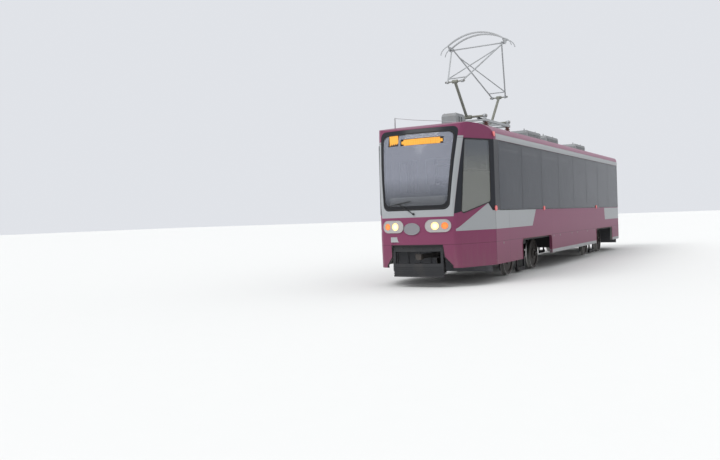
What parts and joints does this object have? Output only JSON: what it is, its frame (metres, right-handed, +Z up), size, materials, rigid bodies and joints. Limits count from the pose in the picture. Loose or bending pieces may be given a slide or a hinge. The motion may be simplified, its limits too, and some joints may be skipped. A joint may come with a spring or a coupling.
{
  "type": "single-car tram",
  "caption": "Single tram car with a hollow windowed body on turning bogies and a folding diamond pantograph.",
  "frame": {"origin": "on the floor under the middle of the body, level with the lowest point of the wheel flanges", "axes": "+X towards the driving end, +Y towards the side without doors, +Z up"},
  "size_m": [15.1295, 2.54, 5.6868],
  "materials": {
    "red_paint": "gloss",
    "roof_paint": "satin",
    "tinted_glass": "gloss",
    "clear_glass": "gloss",
    "lamp_bezel": "gloss",
    "white_lens": "gloss",
    "amber_lens": "gloss",
    "red_lens": "gloss",
    "marker_lens": "gloss",
    "floor_covering": "matte",
    "cab_plastic": "matte",
    "display_case": "matte",
    "bumper_black": "satin",
    "frame_grey": "satin",
    "bogie_grey": "matte",
    "wheel_steel": "satin",
    "motor_iron": "matte",
    "seat_shell": "satin",
    "driver_fabric": "matte",
    "handrail_steel": "satin",
    "panel_grey": "satin",
    "box_grey": "satin",
    "insulator_glaze": "gloss",
    "pantograph_paint": "satin",
    "wiper_black": "matte"
  },
  "bodies": {
    "carbody": {"front_mask": "red_paint", "rear_mask": "red_paint", "windscreen": "clear_glass", "cab_side_glass": "tinted_glass", "rear_window": "tinted_glass", "rear_quarter_glass": "tinted_glass", "headlamp_bezels": "lamp_bezel", "headlamps": "white_lens", "front_indicators": "amber_lens", "tail_lamp_bezels": "lamp_bezel", "tail_lamps": "red_lens", "floor": "floor_covering", "entrance_steps": "floor_covering", "cab_desk": "cab_plastic", "destination_box": "display_case", "wiper": "wiper_black", "side_wall_left": "red_paint", "side_wall_right": "red_paint", "side_glass_left": "tinted_glass", "side_glass_right": "tinted_glass", "side_markers": "marker_lens", "roof": "roof_paint", "underframe": "frame_grey", "door_front": "red_paint", "door_middle_front": "red_paint", "door_middle_rear": "red_paint", "door_rear": "red_paint", "door_glass": "tinted_glass", "front_bumper": "bumper_black", "rear_bumper": "bumper_black", "cab_partition": "panel_grey", "driver_seat": "driver_fabric", "saloon_seats": "seat_shell", "handrails": "handrail_steel", "underfloor_boxes": "frame_grey", "body_bolsters": "frame_grey", "draft_gear": "frame_grey", "roof_gear": "box_grey", "resistor_boxes": "box_grey", "pantograph_insulators": "insulator_glaze", "pantograph_base": "pantograph_paint"},
    "front_bogie": {"front_bogie_frame": "bogie_grey", "front_bogie_bolster": "bogie_grey", "front_bogie_motors": "motor_iron", "front_bogie_rail_brakes": "motor_iron"},
    "rear_bogie": {"rear_bogie_frame": "bogie_grey", "rear_bogie_bolster": "bogie_grey", "rear_bogie_motors": "motor_iron", "rear_bogie_rail_brakes": "motor_iron"},
    "wheelset_1": {"wheelset_1": "wheel_steel"},
    "wheelset_2": {"wheelset_2": "wheel_steel"},
    "wheelset_3": {"wheelset_3": "wheel_steel"},
    "wheelset_4": {"wheelset_4": "wheel_steel"},
    "coupler_front": {"coupler_front": "wheel_steel"},
    "coupler_rear": {"coupler_rear": "wheel_steel"},
    "pantograph_front_arm": {"pantograph_front_arm": "pantograph_paint"},
    "pantograph_rear_arm": {"pantograph_rear_arm": "pantograph_paint"},
    "pantograph_front_frame": {"pantograph_front_frame": "pantograph_paint"},
    "pantograph_rear_frame": {"pantograph_rear_frame": "pantograph_paint"},
    "pantograph_head": {"pantograph_head": "pantograph_paint"}
  },
  "joints": [
    {"name": "front_bogie_yaw", "type": "hinge", "parent": "carbody", "child": "front_bogie", "pos_m": [3.525, 0, 0.6], "axis": [0, 0, 1], "range_deg": [-11, 11]},
    {"name": "rear_bogie_yaw", "type": "hinge", "parent": "carbody", "child": "rear_bogie", "pos_m": [-3.825, 0, 0.6], "axis": [0, 0, 1], "range_deg": [-11, 11]},
    {"name": "wheelset_1_spin", "type": "hinge", "parent": "front_bogie", "child": "wheelset_1", "pos_m": [4.495, 0, 0.377], "axis": [0, 1, 0], "continuous": true},
    {"name": "wheelset_2_spin", "type": "hinge", "parent": "front_bogie", "child": "wheelset_2", "pos_m": [2.555, 0, 0.377], "axis": [0, 1, 0], "continuous": true},
    {"name": "wheelset_3_spin", "type": "hinge", "parent": "rear_bogie", "child": "wheelset_3", "pos_m": [-2.855, 0, 0.377], "axis": [0, 1, 0], "continuous": true},
    {"name": "wheelset_4_spin", "type": "hinge", "parent": "rear_bogie", "child": "wheelset_4", "pos_m": [-4.795, 0, 0.377], "axis": [0, 1, 0], "continuous": true},
    {"name": "coupler_front_swing", "type": "hinge", "parent": "carbody", "child": "coupler_front", "pos_m": [6.56, 0, 0.6], "axis": [0, 0, 1], "range_deg": [-12, 12]},
    {"name": "coupler_rear_swing", "type": "hinge", "parent": "carbody", "child": "coupler_rear", "pos_m": [-6.56, 0, 0.6], "axis": [0, 0, 1], "range_deg": [-12, 12]},
    {"name": "pantograph_lift", "type": "hinge", "parent": "carbody", "child": "pantograph_front_arm", "pos_m": [4.575, 0, 3.61], "axis": [0, -1, 0], "range_deg": [-40.5, 9.5]},
    {"name": "pantograph_rear_arm_turn", "type": "hinge", "parent": "carbody", "child": "pantograph_rear_arm", "pos_m": [2.965, 0, 3.61], "axis": [0, -1, 0], "range_deg": [-9.6, 40.6]},
    {"name": "pantograph_front_elbow", "type": "hinge", "parent": "pantograph_front_arm", "child": "pantograph_front_frame", "pos_m": [5.2177, 0, 4.3365], "axis": [0, -1, 0], "range_deg": [-16.35, 69.35]},
    {"name": "pantograph_rear_elbow", "type": "hinge", "parent": "pantograph_rear_arm", "child": "pantograph_rear_frame", "pos_m": [2.3223, 0, 4.3365], "axis": [0, -1, 0], "range_deg": [-69.35, 16.35]},
    {"name": "pantograph_head_turn", "type": "hinge", "parent": "pantograph_front_frame", "child": "pantograph_head", "pos_m": [3.77, 0, 5.3669], "axis": [0, -1, 0], "range_deg": [-28.86, 6.84]}
  ],
  "couplings": [
    {"joint": "pantograph_rear_arm_turn", "follows": "pantograph_lift", "ratio": -1},
    {"joint": "pantograph_front_elbow", "follows": "pantograph_lift", "ratio": -1.71},
    {"joint": "pantograph_rear_elbow", "follows": "pantograph_lift", "ratio": 1.71},
    {"joint": "pantograph_head_turn", "follows": "pantograph_lift", "ratio": 0.71}
  ]
}
